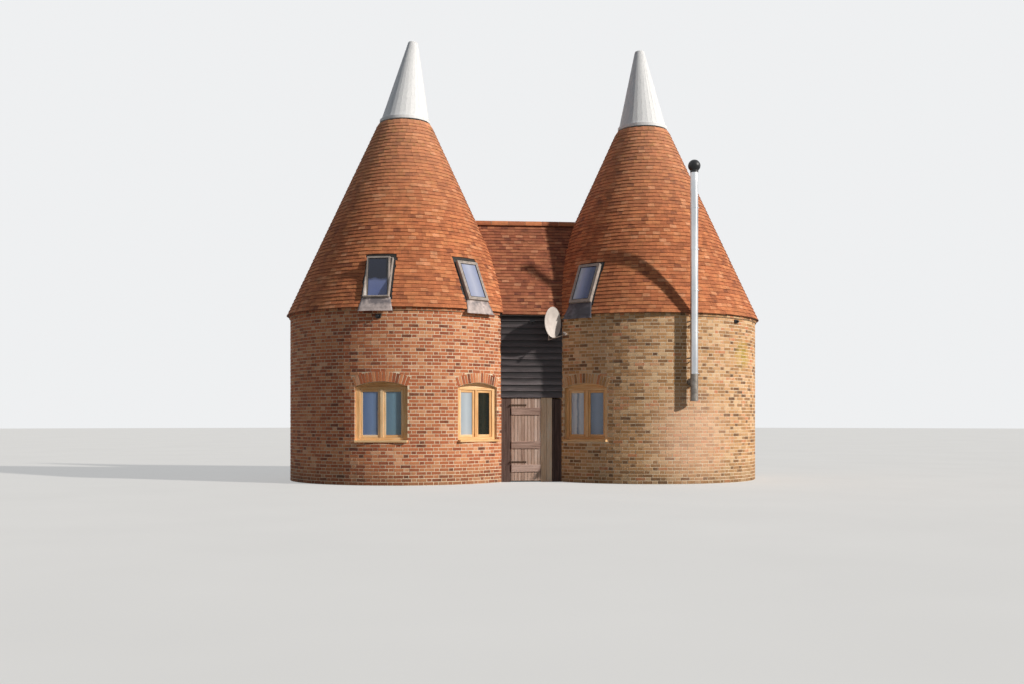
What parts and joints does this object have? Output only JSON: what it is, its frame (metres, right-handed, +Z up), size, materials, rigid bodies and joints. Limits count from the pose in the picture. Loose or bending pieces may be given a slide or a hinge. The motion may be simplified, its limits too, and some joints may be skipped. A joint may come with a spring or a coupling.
{
  "type": "oast house",
  "caption": "Twin-kiln oast house: round brick kilns with tiled cones and turning cowls, joined by a boarded link with a plank gate.",
  "frame": {"origin": "On the ground, on the underside of the ground floor, midway between the axes of the two kilns.", "axes": "+X runs from the left kiln to the right one, +Y from the gated front to the rear, +Z up. In millimetres in the source, metres here."},
  "size_m": [11.68, 5.936, 10.9243],
  "materials": {
    "red_brick": "rough fired clay brick in lime mortar",
    "yellow_brick": "rough tan and brown fired clay brick in lime mortar",
    "clay_tile": "hand-made plain clay tiles, weathered",
    "concrete": "floated concrete",
    "softwood": "sawn softwood",
    "oak": "oiled oak",
    "weathered_wood": "bare weathered planks",
    "black_boards": "feather-edged boards with black stain",
    "white_boards": "boards painted white",
    "tarred_timber": "dark stained timber",
    "window_glass": "clear double glazing",
    "grey_metal": "satin grey paint on aluminium",
    "lead": "dull grey sheet lead",
    "black_iron": "black painted iron",
    "flue_steel": "brushed stainless steel",
    "black_metal": "satin black paint",
    "dish_paint": "matt off-white paint"
  },
  "bodies": {
    "house": {"left_wall_front": "red_brick", "left_wall_side": "red_brick", "left_wall_rear": "red_brick", "left_wall_link": "red_brick", "right_wall_front": "yellow_brick", "right_wall_side": "yellow_brick", "right_wall_rear": "yellow_brick", "right_wall_link": "yellow_brick", "left_arches": "red_brick", "right_arches": "yellow_brick", "eaves_courses": "red_brick", "ground_floor": "concrete", "upper_floors": "softwood", "window_frames": "oak", "casements": "oak", "window_glass": "window_glass", "left_cone_front": "clay_tile", "left_cone_rear": "clay_tile", "right_cone_front": "clay_tile", "right_cone_rear": "clay_tile", "cone_curbs": "tarred_timber", "cowl_bearers": "softwood", "rooflight_frames": "grey_metal", "rooflight_sashes": "grey_metal", "rooflight_glass": "window_glass", "lead_aprons": "lead", "link_wall_front": "black_boards", "link_wall_rear": "black_boards", "link_roof_front": "clay_tile", "link_roof_rear": "clay_tile", "ridge_tiles": "clay_tile", "gate_frame": "weathered_wood", "plank_screen": "weathered_wood", "gate_pins": "black_iron", "flue_pipe": "flue_steel", "flue_ball": "black_metal", "flue_brackets": "flue_steel", "dish": "dish_paint", "dish_mount": "grey_metal", "wall_lamps": "black_metal"},
    "gate": {"gate_leaf": "weathered_wood", "gate_straps": "black_iron"},
    "left_cowl_body": {"left_cowl": "white_boards", "left_cowl_post": "softwood"},
    "right_cowl_body": {"right_cowl": "white_boards", "right_cowl_post": "softwood"}
  },
  "joints": [
    {"name": "gate_hinge", "type": "hinge", "parent": "house", "child": "gate", "pos_m": [-0.488, -1.6203, 0], "axis": [0, 0, -1], "range_deg": [0, 100]},
    {"name": "left_cowl_turn", "type": "hinge", "parent": "house", "child": "left_cowl_body", "pos_m": [-2.99, 0, 8.8], "axis": [0, 0, 1], "continuous": true},
    {"name": "right_cowl_turn", "type": "hinge", "parent": "house", "child": "right_cowl_body", "pos_m": [2.99, 0, 8.76], "axis": [0, 0, 1], "continuous": true}
  ]
}
